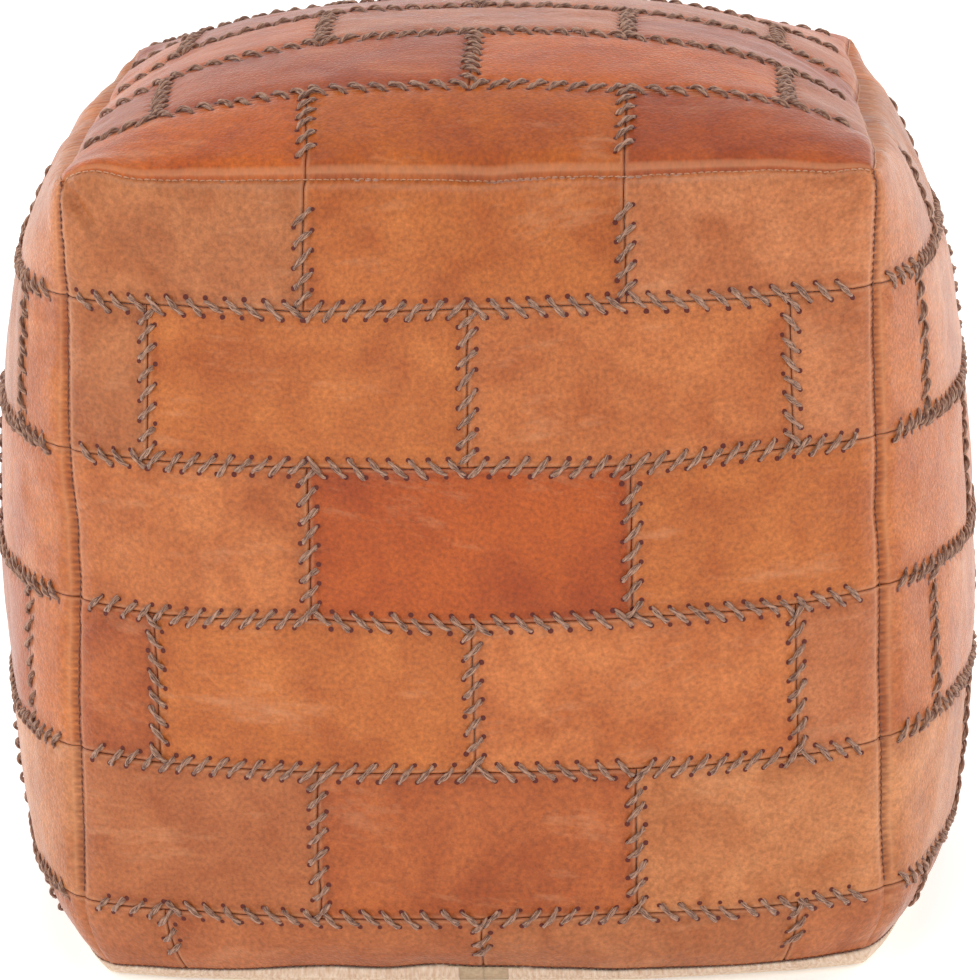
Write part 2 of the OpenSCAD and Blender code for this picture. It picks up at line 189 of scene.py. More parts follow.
def lumps(points, size, seed):
    """Smooth random numbers from -1 to 1 at each point, in lumps about size mm across."""
    table = np.random.default_rng(seed).uniform(-1, 1, (32, 32, 32))
    cell = np.floor(points / size).astype(int)
    part = points / size - cell
    part = part * part * (3 - 2 * part)
    total = np.zeros(points.shape[:-1])
    for corner in range(8):
        step = np.array([(corner >> axis) & 1 for axis in range(3)])
        i, j, k = np.moveaxis((cell + step) % 32, -1, 0)
        total += np.prod(np.where(step, part, 1 - part), axis=-1) * table[i, j, k]
    return total


# Where the seam of the top is gathered up beside a corner: x, y, rise in mm.
GATHERS = [(-163, -180, 5.0), (180, -150, 2.5), (150, 180, 3.0), (-180, 140, 3.0), (158, -180, -1.5)]


def settled(points):
    """Moves points with the uneven filling, less and less towards the floor."""
    ease = np.clip((points[..., 2:] - 3) / 40, 0, 1)
    drift = np.stack([1.3 * lumps(points, 62, seed) + 0.45 * lumps(points, 24, seed + 10)
                      for seed in (1, 2, 3)], -1)
    moved = points + ease * drift
    for x, y, rise in GATHERS:
        away = np.linalg.norm((points - (x, y, BASE_SEAM + PANEL)) / (14, 14, 12), axis=-1)
        moved[..., 2] += rise * np.exp(-away ** 2)
    # the foot of the cover was sewn to the base in slow waves
    foot = np.exp(-((points[..., 2] - BASE_SEAM) / 12) ** 2)
    foot *= np.clip(points[..., 2] / (BASE_SEAM - DIP), 0, 1) ** 2
    flat = points * (1, 1, 0)
    moved[..., 2] += foot * (2.6 * lumps(flat, 62, 52) + 0.8 * lumps(flat, 22, 53))
    return moved


# Cloth simulation: a coarse bag of the cover's form, a little small, is blown out by its
# filling. Its sewn foot stays put, and no point moves more than 6 mm.
COARSE, CAP, SHARE, SMALL, FRAMES = 31, 6.0, 0.4, 0.985, 20


def bag_grid(panel):
    """Grid points of a panel of the coarse bag, or of its base."""
    t = np.linspace(-1, 1, COARSE)
    if panel == "base":
        u, w = np.meshgrid(t, t)
        x, y, _ = np.moveaxis(top_point(u, w, TUCK), -1, 0)
        edge = np.maximum(np.abs(u), np.abs(w)) ** 3
        out = BULGE * side_fill(0.0)
        x = x + u * out * swell(w, ACROSS) * np.abs(u) ** 2
        y = y + w * out * swell(u, ACROSS) * np.abs(w) ** 2
        return np.stack([x, y, 1 + edge * (BASE_SEAM - 1 - DIP * (u * w) ** 4)], -1)
    return panel_point(panel, t[None, :], t[:, None] if panel == "top" else (t[:, None] + 1) / 2)


swollen = {panel: np.zeros((COARSE, COARSE, 3)) for panel in PANELS}
grids = {panel: bag_grid(panel) for panel in [*PANELS, "base"]}
every = np.concatenate([grid.reshape(-1, 3) for grid in grids.values()])
_, first, which = np.unique(np.round(every / 0.5).astype(int), axis=0, return_index=True,
                            return_inverse=True)
which = which.reshape(len(grids), COARSE, COARSE)
faces = []
for panel, index in zip(grids, which):
    index = index[:, ::-1] if panel == "base" else index
    faces += np.stack([index[:-1, :-1], index[:-1, 1:], index[1:, 1:], index[1:, :-1]],
                      -1).reshape(-1, 4).tolist()
start = every[first] * 0.001
middle = np.array((0, 0, 0.19))
bag_mesh = bpy.data.meshes.new("blown bag")
bag_mesh.from_pydata(((start - middle) * SMALL + middle).tolist(), [],
                     [f for f in faces if len(set(f)) == 4])
bag = bpy.data.objects.new("blown bag", bag_mesh)
bpy.context.collection.objects.link(bag)
held = bag.vertex_groups.new(name="sewn foot")
held.add([int(k) for k in np.nonzero(start[:, 2] < 0.02)[0]], 1.0, "REPLACE")
cloth = bag.modifiers.new("cloth", "CLOTH")
cloth.settings.quality = 6
cloth.settings.mass = 0.3
cloth.settings.tension_stiffness = 20
cloth.settings.compression_stiffness = 8
cloth.settings.shear_stiffness = 5
cloth.settings.bending_stiffness = 0.8
cloth.settings.use_pressure = True
cloth.settings.uniform_pressure_force = 4
cloth.settings.effector_weights.gravity = 0
cloth.settings.vertex_group_mass = "sewn foot"
for step in range(1, FRAMES + 1):
    bpy.context.scene.frame_set(step)
blown = bag.evaluated_get(bpy.context.evaluated_depsgraph_get()).data
end = np.empty(len(start) * 3)
blown.vertices.foreach_get("co", end)
drift = (end.reshape(-1, 3) - start) * 1000 * SHARE
drift *= np.clip((start[:, 2:] * 1000 - BASE_SEAM) / 60, 0, 1)
long = np.linalg.norm(drift, axis=1, keepdims=True)
drift *= np.minimum(1, CAP / np.maximum(long, 1e-6))
for panel, index in zip(grids, which):
    if panel != "base":
        swollen[panel] = drift[index]
bpy.data.objects.remove(bag)
bpy.context.scene.frame_set(1)


def swelling(panel, u, v):
    """The simulated move at any u and v of a panel, as a smooth curve through the coarse grid."""
    u, v = np.broadcast_arrays(u, v if panel == "top" else 2 * v - 1)
    padded = swollen[panel]
    padded = np.concatenate([2 * padded[:1] - padded[1:2], padded, 2 * padded[-1:] - padded[-2:-1]])
    padded = np.concatenate([2 * padded[:, :1] - padded[:, 1:2], padded,
                             2 * padded[:, -1:] - padded[:, -2:-1]], 1)

    def weights(t):
        where = np.clip((t + 1) / 2 * (COARSE - 1), 0, COARSE - 1)
        cell = np.minimum(where.astype(int), COARSE - 2)
        f = where - cell
        return cell, [(1 - f) ** 3 / 6, (3 * f ** 3 - 6 * f * f + 4) / 6,
                      (-3 * f ** 3 + 3 * f * f + 3 * f + 1) / 6, f ** 3 / 6]

    (i, across_weights), (j, up_weights) = weights(u), weights(v)
    total = np.zeros(u.shape + (3,))
    for a in range(4):
        for b in range(4):
            total += (up_weights[a] * across_weights[b])[..., None] * padded[j + a, i + b]
    return total


def lines_between(marks, length, step):
    """Grid lines: step mm apart, and closer at both edges of the cut at each mark."""
    near = np.array([CUT, 0.55, 1.1]) / length
    lines = []
    for low, high in zip(marks, marks[1:]):
        inner = np.linspace(low, high, max(2, round((high - low) * length / step)) + 1)[1:-1]
        inner = inner[(inner > low + 1.7 / length) & (inner < high - 1.7 / length)]
        lines += [*(low + near), *inner, *(high - near[::-1])]
    lines[0], lines[-1] = marks[0], marks[-1]
    return np.array(lines)


def joins(row):
    """Where the upright joins of a row are: two in the odd rows, three in the even ones."""
    return [-PATCH / 2, PATCH / 2] if row % 2 else [-PATCH, 0, PATCH]


# Which way the stitches lean in each stretch of a level join, and in each upright join.
LEVEL_LEAN = [[-1, -1, 1, -1, -1, -1], [-1, 1, -1, 1, 1, 1], [1, 1, -1, -1, -1, -1],
              [1, 1, 1, -1, 1, -1], [1, -1, -1, 1, -1, -1]]
UPRIGHT_LEAN = [[1, 1], [1, 1, -1], [1, 1], [-1, 1, 1], [1, 1], [1, 1, 1]]


def stitches_of(panel):
    """The two holes of each stitch of a panel, as u, v, u, v."""
    quarters = PANELS.index(panel)
    rows = MARKS_W if panel == "top" else MARKS_V[::-1]
    found = []

    def scale(u, v, du, dv):
        ends = [panel_point(panel, np.array(u + s * du), np.array(v + s * dv)) for s in (-1, 1)]
        return np.linalg.norm(ends[1] - ends[0]) / (2 * (du + dv))

    def stitch(u, v, lean):
        du = lean * HOLE / scale(u, v, 0.01, 0)
        dv = HOLE / scale(u, v, 0, 0.005)
        found.append((u - du, v - dv, u + du, v + dv))

    for k in range(5):
        for s in range(6):
            low = -1 + BARE_LOW / HALF if s == 0 else MARKS_U[s]
            high = 1 - BARE / HALF if s == 5 else MARKS_U[s + 1]
            v = rows[k + 1]
            count = int((high - low) * scale((low + high) / 2, v, 0.01, 0) / PITCH)
            for n in range(count):
                stitch(low + (n + 0.5) * (high - low) / count, v, LEVEL_LEAN[(k + quarters) % 5][s])
    for row in range(1, 7):
        low, high = sorted(rows[row - 1:row + 1])
        middle = (low + high) / 2
        for j, u in enumerate(joins(row)):
            length = (high - low) * scale(u, middle, 0, 0.005)
            count = int((length - 4 * HOLE - 4.4) / PITCH_UP) + 1
            leans = UPRIGHT_LEAN[row - 1]
            sewn_low = 1 if panel == "top" or row < 6 else 0
            sewn_high = 1 if panel != "top" and row > 1 or panel == "top" and row < 6 else 0
            sewn_low = 0 if panel == "top" and row == 1 else sewn_low
            for n in range(-sewn_low, count + sewn_high):
                v = middle + (n - (count - 1) / 2) * PITCH_UP / length * (high - low)
                stitch(u, v, leans[(j + quarters) % len(leans)])
    return np.array(found)


def unit(vectors):
    return vectors / np.maximum(np.linalg.norm(vectors, axis=-1, keepdims=True), 1e-9)


def bell(distance, width):
    return np.exp(-(distance / width) ** 2)


skins = {}
for panel in PANELS:
    marks = MARKS_W if panel == "top" else MARKS_V
    long_v = HALF if panel == "top" else PANEL
    us = lines_between(MARKS_U, HALF, 1.15)
    vs = lines_between(marks, long_v, 1.15)
    flat = panel_point(panel, us[None, :], vs[:, None])
    points = settled(flat) + swelling(panel, us[None, :], vs[:, None])
    normals = unit(np.cross(np.gradient(flat, axis=1), np.gradient(flat, axis=0)))
    # outwards at the seams, where two panels meet
    from_right = np.abs(1 - np.abs(us))[None, :] * HALF
    if panel == "top":
        from_top = np.abs(1 - np.abs(vs))[:, None] * HALF
        lift = np.stack(np.broadcast_arrays(np.sign(us)[None, :] * bell(from_right, 4),
                                            np.sign(vs)[:, None] * bell(from_top, 4), 1.0), -1)
        sewn = np.ones((len(vs), 1))
        from_base = np.full((len(vs), 1), 1e3)
    else:
        from_top = (1 - vs)[:, None] * PANEL
        from_base = vs[:, None] * PANEL
        lift = turned(np.stack(np.broadcast_arrays(np.sign(us)[None, :] * bell(from_right, 4), -1.0,
                                                   bell(from_top, 4)), -1), PANELS.index(panel))
        sewn = np.clip((from_base - 24) / 12, 0, 1)
    nearest = np.minimum(from_right, from_top)
    share = bell(nearest, 5)[..., None]
    normals = unit(normals * (1 - share) + unit(lift) * share)
    # distance from each joint
    row_of = np.clip(np.searchsorted(marks, vs) - 1, 0, 5)
    row_numbers = row_of + 1 if panel == "top" else 6 - row_of
    to_level = np.min(np.abs(vs[:, None] - marks[None, 1:-1]), axis=1)[:, None] * long_v
    to_upright = np.stack([np.min([np.abs(us - u) for u in joins(r)], axis=0)
                           for r in row_numbers]) * HALF
    edge = np.minimum(to_level, to_upright)
    puffed = 0.7 * (1 - bell(edge, 7)) + 0.45 * lumps(flat, 17, 5) + 0.16 * lumps(flat, 7, 6)
    puffed *= np.clip(nearest / 8, 0, 1) * np.clip(from_base / 8, 0, 1)
    # the crease of each sewn seam, with a pucker at every stitch
    along = flat[..., 2] if panel != "top" else flat[..., 0] + flat[..., 1]
    down = (flat[..., 0] if panel in ("front", "back") else flat[..., 1])
    crease = bell(from_right, 1.9) * (1.0 + 0.2 * np.cos(along * 2 * math.pi / 3.2)) * (0.3 + 0.7 * sewn)
    crease = np.maximum(crease, bell(from_top, 1.8) * (0.8 + 0.25 * np.cos(down * 2 * math.pi / 3.2)))
    gather = bell(nearest, 9) * 0.45 * lumps(flat, 5.5, 8)
    # the two front corners of the top are gathered: a pit, and a fold that runs down from it
    pit = sum(2.6 * bell(np.linalg.norm(flat - (side * HALF, -HALF, BASE_SEAM + PANEL), axis=-1), 8)
              for side in (-1, 1))
    folds = 0
    if panel == "front":
        for side, strength in ((-1, 1.0), (1, 0.6)):
            inward, below = 176 - side * us[None, :] * HALF, 354 - vs[:, None] * PANEL
            run, off = 0.62 * inward + 0.78 * below, 0.78 * inward - 0.62 * below
            folds = folds + strength * bell(run - 10, 12) * (
                1.5 * bell(off - 5, 3.2) + 1.2 * bell(off + 4.5, 3) - 3.0 * bell(off, 2.4))
    calm = points + normals * (puffed - crease * 1.3 + gather + folds - pit)[..., None]
    # the holes and the dimple that each stitch pulls round them
    stitches = stitches_of(panel)
    holes = stitches.reshape(-1, 2)
    deep = 0.45 * np.clip(1 - (edge - CUT) / 1.0, 0, 1) ** 2
    # darker along every cut edge and round each hole, and, below, painted shade in the needle pricks
    wear_and_shade = 0.35 * bell(edge, 0.8)
    for u, v in holes:
        i, j = np.searchsorted(us, u), np.searchsorted(vs, v)
        near = (slice(max(0, j - 7), j + 7), slice(max(0, i - 7), i + 7))
        spot = panel_point(panel, np.array(u), np.array(v))
        away = np.linalg.norm(flat[near] - spot, axis=-1)
        deep[near] = np.maximum(deep[near], 0.5 * bell(away, 2.6))
        wear_and_shade[near] = np.maximum(wear_and_shade[near], 0.1 * bell(away, 2.2))
    # dark dots at the needle pricks along the corner seams: painted shade in the pricks
    pricks = bell(from_right, 1.3) * (0.5 + 0.5 * np.cos(along * 2 * math.pi / 3.2)) * sewn
    wear_and_shade = np.maximum(wear_and_shade, 0.75 * pricks)
    # painted highlight: pale lines where the lips beside the seams and beside every join would catch the
    # light
    lip = np.maximum(0.5 * bell(from_right - 2.4, 0.8) * sewn,
                     (1.0 if panel == "top" else 0.3) * bell(from_top - 1.6, 0.8))
    pale = 0.6 * lip
    pale = np.maximum(pale, 0.3 * bell(edge - 1.2, 0.7))
    skins[panel] = dict(us=us, vs=vs, pale=pale, flat=flat, normals=normals, calm=calm, marks=marks,
                        final=calm - normals * deep[..., None], wear_and_shade=wear_and_shade, stitches=stitches)

# Shades of the hides that the patches are cut from, and the one of each patch, row by row. The last
# three, which only the top uses, are darker and stronger than the sides': painted shade on the top.
HIDES = [linear(code) for code in
         ("#b46838", "#b2642f", "#b56e44", "#a9663d", "#a34a15", "#a25427", "#a55f36", "#b87548",
          "#a6510f", "#9a4410", "#b2550f")]
CHOICE = [[3, 1, 2], [3, 1, 0, 2], [0, 4, 1], [5, 1, 0, 2], [6, 5, 7], [6, 6, 3, 6]]
TOP_CHOICE = [[8, 9, 10], [9, 9, 10, 5], [5, 9, 10], [10, 9, 5, 8], [9, 10, 9], [8, 5, 9, 10]]

leather, tree = finish_of("vegetable-tanned cowhide")
hide = add(tree, "Attribute", attribute_name="hide")
shade = add(tree, "Attribute", attribute_name="shade")
wear_and_shade_input = add(tree, "Attribute", attribute_name="wear_and_shade")
highlight_input = add(tree, "Attribute", attribute_name="painted_highlight")
# the dye took unevenly: clouds some 30 mm across, and smaller ones of 8 mm
cloudy = add(tree, "TexNoise", {"Vector": hide.outputs["Vector"], "Scale": 1 / 0.034, "Detail": 5.0,
                                "Roughness": 0.6, "Distortion": 0.4})
cloud_share = add(tree, "MapRange", {"Value": cloudy.outputs["Fac"], "From Min": 0.34, "From Max": 0.66})
deeper = add(tree, "Mix", {0: 1.0, 6: shade.outputs["Color"], 7: (0.8, 0.64, 0.46, 1)},
             data_type="RGBA", blend_type="MULTIPLY")
lighter = add(tree, "Mix", {0: 1.0, 6: shade.outputs["Color"], 7: (1.12, 1.15, 1.12, 1)},
              data_type="RGBA", blend_type="MULTIPLY")
dyed = add(tree, "Mix", {0: cloud_share.outputs[0], 6: deeper.outputs[2], 7: lighter.outputs[2]},
           data_type="RGBA")
# fine grain, about 1.6 mm, drawn a little coarser than the real pores so that it shows
pores = add(tree, "TexVoronoi", {"Vector": hide.outputs["Vector"], "Scale": 1 / 0.0015,
                                 "Randomness": 1.0})
grain = add(tree, "TexNoise", {"Vector": hide.outputs["Vector"], "Scale": 1 / 0.0019, "Detail": 4.0,
                               "Roughness": 0.65})
grain_share = add(tree, "MapRange", {"Value": grain.outputs["Fac"], "From Min": 0.3,
                                     "From Max": 0.7, "To Min": 0.7, "To Max": 1.24})
grained = add(tree, "VectorMath", {0: dyed.outputs[2], 1: grain_share.outputs[0]},
              operation="MULTIPLY")
# pale scuffs that run along the hide, and painted highlight on the lips of the seams and joins
along_hide = add(tree, "VectorMath", {0: hide.outputs["Vector"], 1: (0.45, 1.6, 1.0)},
                 operation="MULTIPLY")
scuff = add(tree, "TexNoise", {"Vector": along_hide.outputs[0], "Scale": 1 / 0.03, "Detail": 6.0,
                               "Roughness": 0.72})
scuff_share = add(tree, "MapRange", {"Value": scuff.outputs["Fac"], "From Min": 0.56,
                                     "From Max": 0.74, "To Max": 0.35})
scuff_and_highlight = add(tree, "Math", {0: scuff_share.outputs[0], 1: highlight_input.outputs["Fac"]},
               operation="MAXIMUM")
scuffed_and_highlit = add(tree, "Mix", {0: scuff_and_highlight.outputs[0], 6: grained.outputs[0], 7: linear("#d59a70")},
              data_type="RGBA")
# the hide turns dark brown along the cut edges and round the holes, and as painted shade in the needle
# pricks and the punched holes
dark = add(tree, "Mix", {0: wear_and_shade_input.outputs["Fac"], 6: scuffed_and_highlit.outputs[2], 7: linear("#561608")},
           data_type="RGBA")
grain_height = add(tree, "Math", {0: pores.outputs["Distance"], 1: 0.6, 2: grain.outputs["Fac"]},
                   operation="MULTIPLY_ADD")
bump = add(tree, "Bump", {"Height": grain_height.outputs[0], "Strength": 0.75, "Distance": 0.0006})
gloss = add(tree, "TexNoise", {"Vector": along_hide.outputs[0], "Scale": 1 / 0.012, "Detail": 6.0,
                               "Roughness": 0.75})
rough = add(tree, "MapRange", {"Value": gloss.outputs["Fac"], "From Min": 0.3, "From Max": 0.7,
                               "To Min": 0.34, "To Max": 0.6})
# wax that catches the light in streaks where the hide turns away
sheen = add(tree, "MapRange", {"Value": gloss.outputs["Fac"], "From Min": 0.36, "From Max": 0.66,
                               "To Min": 0.05, "To Max": 0.75})
surface(tree, {"Base Color": dark.outputs[2], "Roughness": rough.outputs[0],
              "Sheen Weight": sheen.outputs[0], "Sheen Roughness": 0.18,
              "Normal": bump.outputs[0], "IOR": 1.5,
              "Specular IOR Level": 0.25, "Coat Weight": 0.16,
              "Coat Roughness": 0.32})


def build(name, points, quads, triangles, material, nodes, body="root", numbers=None):
    """Makes a piece from points in mm, rides it on its body and hides the parts that it stands for."""
    mesh = bpy.data.meshes.new(name)
    mesh.vertices.add(len(points))
    mesh.vertices.foreach_set("co", (np.asarray(points) * 0.001).ravel())
    quads = np.asarray(quads, int).reshape(-1, 4)
    triangles = np.asarray(triangles, int).reshape(-1, 3)
    corners = np.concatenate([quads.ravel(), triangles.ravel()])
    starts = np.concatenate([np.arange(len(quads)) * 4,
                             len(quads) * 4 + np.arange(len(triangles)) * 3])
    mesh.loops.add(len(corners))
    mesh.loops.foreach_set("vertex_index", corners)
    mesh.polygons.add(len(starts))
    mesh.polygons.foreach_set("loop_start", starts)
    mesh.update(calc_edges=True)
    mesh.shade_smooth()
    for key, values in (numbers or {}).items():
        values = np.asarray(values, float)
        kind, field = {1: ("FLOAT", "value"), 3: ("FLOAT_VECTOR", "vector"),
                       4: ("FLOAT_COLOR", "color")}[values.reshape(len(points), -1).shape[1]]
        mesh.attributes.new(key, kind, "POINT").data.foreach_set(field, values.ravel())
    mesh.materials.append(material)
    piece = bpy.data.objects.new(name, mesh)
    bpy.context.collection.objects.link(piece)
    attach(piece, body)
    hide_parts(*nodes)
    return piece


def closed_sheet(front, behind, step):
    """A closed sheet: a fine front grid, walls round it, and a back grid of every step-th line."""
    rows, cols = front.shape[:2]
    keep_r = sorted({*range(0, rows, step), rows - 1})
    keep_c = sorted({*range(0, cols, step), cols - 1})
    points = np.concatenate([front.reshape(-1, 3), behind[np.ix_(keep_r, keep_c)].reshape(-1, 3)])
    fine = np.arange(rows * cols).reshape(rows, cols)
    coarse = rows * cols + np.arange(len(keep_r) * len(keep_c)).reshape(len(keep_r), len(keep_c))
    quads = np.concatenate([
        np.stack([fine[:-1, :-1], fine[:-1, 1:], fine[1:, 1:], fine[1:, :-1]], -1).reshape(-1, 4),
        np.stack([coarse[:-1, :-1], coarse[1:, :-1], coarse[1:, 1:], coarse[:-1, 1:]],
                 -1).reshape(-1, 4)])
    triangles = []
    sides = [(fine[0], coarse[0], keep_c), (fine[:, -1], coarse[:, -1], keep_r),
             (fine[-1, ::-1], coarse[-1, ::-1], [cols - 1 - k for k in keep_c[::-1]]),
             (fine[::-1, 0], coarse[::-1, 0], [rows - 1 - k for k in keep_r[::-1]])]
    for rim, low, picks in sides:
        for j, (a, b) in enumerate(zip(picks, picks[1:])):
            middle = (a + b) // 2
            triangles += [(rim[k + 1], rim[k], low[j]) for k in range(a, middle)]
            triangles += [(rim[k + 1], rim[k], low[j + 1]) for k in range(middle, b)]
            triangles.append((rim[middle], low[j], low[j + 1]))
    return points, quads, triangles, (keep_r, keep_c)


def on_skin(panel, u, v, field):
    """A field of a panel's skin at any u and v, between its grid lines."""
    skin = skins[panel]
    i = np.clip(np.searchsorted(skin["us"], u) - 1, 0, len(skin["us"]) - 2)
    j = np.clip(np.searchsorted(skin["vs"], v) - 1, 0, len(skin["vs"]) - 2)
    a = ((u - skin["us"][i]) / (skin["us"][i + 1] - skin["us"][i]))[..., None]
    b = ((v - skin["vs"][j]) / (skin["vs"][j + 1] - skin["vs"][j]))[..., None]
    f = skin[field]
    return ((f[j, i] * (1 - a) + f[j, i + 1] * a) * (1 - b)
            + (f[j + 1, i] * (1 - a) + f[j + 1, i + 1] * a) * b)


cutter = np.random.default_rng(11)
puncher = np.random.default_rng(19)
RIM = np.arange(10) * 2 * math.pi / 10
for panel in PANELS:
    skin = skins[panel]
    for row in range(1, 7):
        span = row if panel == "top" else 7 - row
        lines = [-1, *joins(row), 1]
        inside_v = (skin["vs"] >= skin["marks"][span - 1]) & (skin["vs"] <= skin["marks"][span])
        chosen = (TOP_CHOICE if panel == "top" else CHOICE)[row - 1]
        all_points, all_quads, all_triangles = [], [], []
        data = {"hide": [], "shade": [], "wear_and_shade": [], "painted_highlight": []}
        count = 0
        for n, (low, high) in enumerate(zip(lines, lines[1:])):
            inside_u = (skin["us"] >= low) & (skin["us"] <= high)
            pick = np.ix_(inside_v, inside_u)
            front, normal = skin["final"][pick], skin["normals"][pick]
            front = front + normal * cutter.uniform(0, 0.15)
            points, quads, triangles, (kr, kc) = closed_sheet(front, front - normal * LEATHER, 4)
            # each patch comes from its own place on the hide
            u_mm, v_mm = np.meshgrid(skin["us"][inside_u] * HALF,
                                     skin["vs"][inside_v] * (HALF if panel == "top" else PANEL))
            turn = cutter.uniform(-0.25, 0.25)
            spot = cutter.uniform(0, 4000, 3)
            flat_hide = np.stack([u_mm * math.cos(turn) - v_mm * math.sin(turn),
                                  u_mm * math.sin(turn) + v_mm * math.cos(turn), 0 * u_mm], -1)
            flat_hide = (flat_hide + spot) * 0.001
            wear_and_shade = skin["wear_and_shade"][pick]
            pale = skin["pale"][pick]
            data["painted_highlight"].append(np.concatenate([pale.ravel(), pale[np.ix_(kr, kc)].ravel()]))
            data["hide"].append(np.concatenate([flat_hide.reshape(-1, 3),
                                                flat_hide[np.ix_(kr, kc)].reshape(-1, 3)]))
            data["wear_and_shade"].append(np.concatenate([wear_and_shade.ravel(), wear_and_shade[np.ix_(kr, kc)].ravel()]))
            tint = np.array(HIDES[chosen[(n + PANELS.index(panel) * 2) % len(chosen)
                                         if panel != "front" else n]])
            tint[:3] *= cutter.uniform(0.97, 1.03)
            data["shade"].append(np.tile(tint, (len(points), 1)))
            all_points.append(points)
            all_quads.append(quads + count)
            all_triangles.append(np.array(triangles) + count)
            count += len(points)
        # the punched holes: in each a dark plug, painted shade inside the hole, with a rim of ten
        # points, its top and its foot
        holes = skin["stitches"].reshape(-1, 2)
        edges = skin["marks"][span - 1:span + 1]
        holes = holes[(holes[:, 1] > edges[0]) & (holes[:, 1] < edges[1]) & (np.abs(holes[:, 0]) < 1)]
        spots = on_skin(panel, holes[:, 0], holes[:, 1], "calm")
        out = unit(on_skin(panel, holes[:, 0], holes[:, 1], "normals"))
        one = unit(np.cross(out, (0.31, 0.17, 0.93)))
        two = np.cross(out, one)
        radius = puncher.uniform(1.0, 1.3, (len(holes), 1, 1))
        rims = (spots - 0.2 * out)[:, None] + radius * (one[:, None] * np.cos(RIM)[:, None]
                                                      + two[:, None] * np.sin(RIM)[:, None])
        shade_plugs = np.concatenate([rims, (spots - 0.1 * out)[:, None], (spots - 1.2 * out)[:, None]], 1)
        base = count + 12 * np.arange(len(holes))[:, None]
        k, after = np.arange(10), (np.arange(10) + 1) % 10
        all_triangles.append(np.stack(np.broadcast_arrays(base + k, base + after, base + 10),
                                      -1).reshape(-1, 3))
        all_triangles.append(np.stack(np.broadcast_arrays(base + after, base + k, base + 11),
                                      -1).reshape(-1, 3))
        all_points.append(shade_plugs.reshape(-1, 3))
        data["hide"].append(shade_plugs.reshape(-1, 3) * 0.001)
        data["shade"].append(np.tile(HIDES[4], (shade_plugs.shape[0] * 12, 1)))
        # full darkness for the plugs: painted shade in the holes
        data["wear_and_shade"].append(np.ones(shade_plugs.shape[0] * 12))
        data["painted_highlight"].append(np.zeros(shade_plugs.shape[0] * 12))
        name = f"{panel}_row_{row}"
        piece = build(f"leather_{name}", np.concatenate(all_points), np.concatenate(all_quads),
                      np.concatenate(all_triangles), leather, [name],
                      numbers={k: np.concatenate(v) for k, v in data.items()})
        piece.data.set_sharp_from_angle(angle=math.radians(50))

# ---- lacing ---------------------------------------------------------------------------
# Waxed cotton cord of two plies, each 1.4 mm thick, laced by hand over the joins. Each stitch
# comes out of one hole, lies across the cut, and dives into the other.
PLY, PLY_OFFSET, LAY = 0.7, 0.62, 15.0
RINGS, SIDES = 13, 8

cord_finish, tree = finish_of("waxed cotton cord")
fibre = add(tree, "Attribute", attribute_name="fibre")
streak = add(tree, "TexNoise", {"Vector": fibre.outputs["Vector"], "Scale": 1.0, "Detail": 3.0,
                                "Roughness": 0.65})
streak_share = add(tree, "MapRange", {"Value": streak.outputs["Fac"], "From Min": 0.38,
                                      "From Max": 0.64})
pale = add(tree, "Mix", {0: streak_share.outputs[0], 6: linear("#4f2a1b"), 7: linear("#b98f76")},
           data_type="RGBA")
cord_bump = add(tree, "Bump", {"Height": streak.outputs["Fac"], "Strength": 0.6,
                               "Distance": 0.0003})
surface(tree, {"Base Color": pale.outputs[2], "Roughness": 0.88,
              "Sheen Weight": 0.25, "Sheen Roughness": 0.5,
              "Normal": cord_bump.outputs[0]})


def tubes(paths, normals, radius, sides=SIDES):
    """Closed tubes along paths (count, rings, 3); radius is a number for each ring."""
    count, rings = paths.shape[:2]
    ahead = unit(np.gradient(paths, axis=1))
    beside = unit(np.cross(ahead, normals))
    above = np.cross(beside, ahead)
    angles = np.arange(sides) * 2 * math.pi / sides
    spokes = (beside[:, :, None] * np.cos(angles)[None, None, :, None]
              + above[:, :, None] * np.sin(angles)[None, None, :, None])
    points = paths[:, :, None] + spokes * np.asarray(radius)[..., None, None]
    index = np.arange(count * rings * sides).reshape(count, rings, sides)
    ahead_of = np.roll(index, -1, axis=2)
    quads = np.stack([index[:, :-1], ahead_of[:, :-1], ahead_of[:, 1:], index[:, 1:]],
                     -1).reshape(-1, 4)
    fan = np.arange(1, sides - 1)
    first, last = index[:, 0], index[:, -1]
    triangles = np.concatenate([
        np.stack([np.repeat(first[:, :1], len(fan), 1), first[:, fan + 1], first[:, fan]], -1),
        np.stack([np.repeat(last[:, :1], len(fan), 1), last[:, fan], last[:, fan + 1]], -1)])
    return points.reshape(-1, 3), quads, triangles.reshape(-1, 3)


